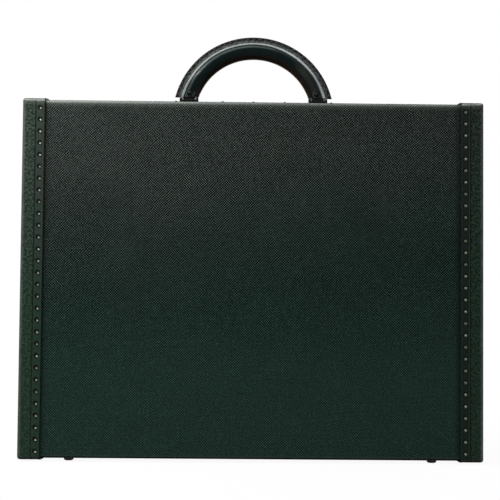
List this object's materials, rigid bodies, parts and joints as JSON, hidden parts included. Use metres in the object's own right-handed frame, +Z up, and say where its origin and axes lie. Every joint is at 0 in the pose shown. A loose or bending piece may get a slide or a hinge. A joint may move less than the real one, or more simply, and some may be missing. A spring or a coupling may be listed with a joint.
{
  "type": "hard briefcase",
  "caption": "Leather-covered hard attache case: two hinged wooden shells, nailed end trims, arched rolled handle, flip latches and folding lid stays.",
  "frame": {"origin": "middle of the case on the floor that its feet stand on, with the handle up", "axes": "+X along the width, +Y from the front face to the lid, +Z up to the handle"},
  "size_m": [0.4524, 0.0944, 0.4192],
  "materials": {
    "plywood": "raw",
    "cover_leather": "satin cross-grained",
    "trim_leather": "satin tooled",
    "handle_leather": "smooth semi-gloss",
    "pocket_leather": "smooth",
    "lining": "suede-like",
    "lip": "edge-dyed",
    "nail_brass": "aged",
    "foot_brass": "dark aged",
    "dark_brass": "dark aged",
    "brass": "satin",
    "steel": "satin"
  },
  "bodies": {
    "root": {"base_frame": "plywood", "base_board": "plywood", "base_cover": "cover_leather", "base_lining": "lining", "base_left_trim": "trim_leather", "base_right_trim": "trim_leather", "base_left_nails": "nail_brass", "base_right_nails": "nail_brass", "hinge_base_leaf": "brass", "hinge_pin": "steel", "hinge_base_screws": "brass", "base_feet": "foot_brass", "handle_patch": "cover_leather", "patch_nails": "nail_brass", "left_handle_mount": "dark_brass", "right_handle_mount": "dark_brass", "handle_pins": "dark_brass", "handle_mount_screws": "dark_brass", "left_lock_plate": "brass", "right_lock_plate": "brass", "lock_rivets": "brass", "stay_front_brackets": "brass"},
    "lid": {"lid_frame": "plywood", "lid_board": "plywood", "lid_cover": "cover_leather", "lid_lining": "lining", "lid_left_trim": "trim_leather", "lid_right_trim": "trim_leather", "lid_left_nails": "nail_brass", "lid_right_nails": "nail_brass", "lid_lip": "lip", "lid_pocket": "pocket_leather", "hinge_lid_leaf": "brass", "hinge_lid_screws": "brass", "lid_feet": "foot_brass", "left_hasp_mount": "brass", "right_hasp_mount": "brass", "hasp_pins": "steel", "hasp_mount_rivets": "brass", "stay_lid_brackets": "brass"},
    "handle": {"handle_core": "dark_brass", "handle_grip": "handle_leather", "handle_welt": "handle_leather", "handle_rivets": "dark_brass"},
    "left_slide": {"left_slide": "brass"},
    "right_slide": {"right_slide": "brass"},
    "left_key": {"left_key_barrel": "brass"},
    "right_key": {"right_key_barrel": "brass"},
    "left_hasp": {"left_hasp": "brass"},
    "right_hasp": {"right_hasp": "brass"},
    "left_long_link": {"left_long_link": "brass", "left_knee_rivet": "steel"},
    "right_long_link": {"right_long_link": "brass", "right_knee_rivet": "steel"},
    "left_short_link": {"left_short_link": "brass"},
    "right_short_link": {"right_short_link": "brass"}
  },
  "joints": [
    {"name": "lid_hinge", "type": "hinge", "parent": "root", "child": "lid", "pos_m": [0, 0.009, 0.00195], "axis": [-1, 0, 0], "range_deg": [0, 100]},
    {"name": "handle_pivot", "type": "hinge", "parent": "root", "child": "handle", "pos_m": [0, -0.0185, 0.355], "axis": [-1, 0, 0], "range_deg": [-68, 68]},
    {"name": "left_slide_travel", "type": "slide", "parent": "root", "child": "left_slide", "axis": [1, 0, 0], "range_m": [0, 0.005], "stiffness_N_per_m": 200},
    {"name": "right_slide_travel", "type": "slide", "parent": "root", "child": "right_slide", "axis": [-1, 0, 0], "range_m": [0, 0.005], "stiffness_N_per_m": 200},
    {"name": "left_key_turn", "type": "hinge", "parent": "root", "child": "left_key", "pos_m": [-0.1565, 0.0005, 0.3504], "axis": [0, 0, 1], "range_deg": [0, 90]},
    {"name": "right_key_turn", "type": "hinge", "parent": "root", "child": "right_key", "pos_m": [0.1565, 0.0005, 0.3504], "axis": [0, 0, 1], "range_deg": [-90, 0]},
    {"name": "left_hasp_hinge", "type": "hinge", "parent": "lid", "child": "left_hasp", "pos_m": [-0.145, 0.018, 0.3532], "axis": [-1, 0, 0], "range_deg": [0, 95]},
    {"name": "right_hasp_hinge", "type": "hinge", "parent": "lid", "child": "right_hasp", "pos_m": [0.145, 0.018, 0.3532], "axis": [-1, 0, 0], "range_deg": [0, 95]},
    {"name": "left_long_link_pivot", "type": "hinge", "parent": "root", "child": "left_long_link", "pos_m": [-0.213, -0.022, 0.05195], "axis": [-1, 0, 0], "range_deg": [0, 100]},
    {"name": "right_long_link_pivot", "type": "hinge", "parent": "root", "child": "right_long_link", "pos_m": [0.213, -0.022, 0.05195], "axis": [-1, 0, 0], "range_deg": [0, 100]},
    {"name": "left_short_link_pivot", "type": "hinge", "parent": "lid", "child": "left_short_link", "pos_m": [-0.213, 0.0322, 0.14995], "axis": [1, 0, 0], "range_deg": [0, 100]},
    {"name": "right_short_link_pivot", "type": "hinge", "parent": "lid", "child": "right_short_link", "pos_m": [0.213, 0.0322, 0.14995], "axis": [1, 0, 0], "range_deg": [0, 100]}
  ],
  "couplings": [
    {"joint": "left_long_link_pivot", "follows": "lid_hinge", "ratio": 1},
    {"joint": "right_long_link_pivot", "follows": "lid_hinge", "ratio": 1},
    {"joint": "left_short_link_pivot", "follows": "lid_hinge", "ratio": 1},
    {"joint": "right_short_link_pivot", "follows": "lid_hinge", "ratio": 1}
  ]
}
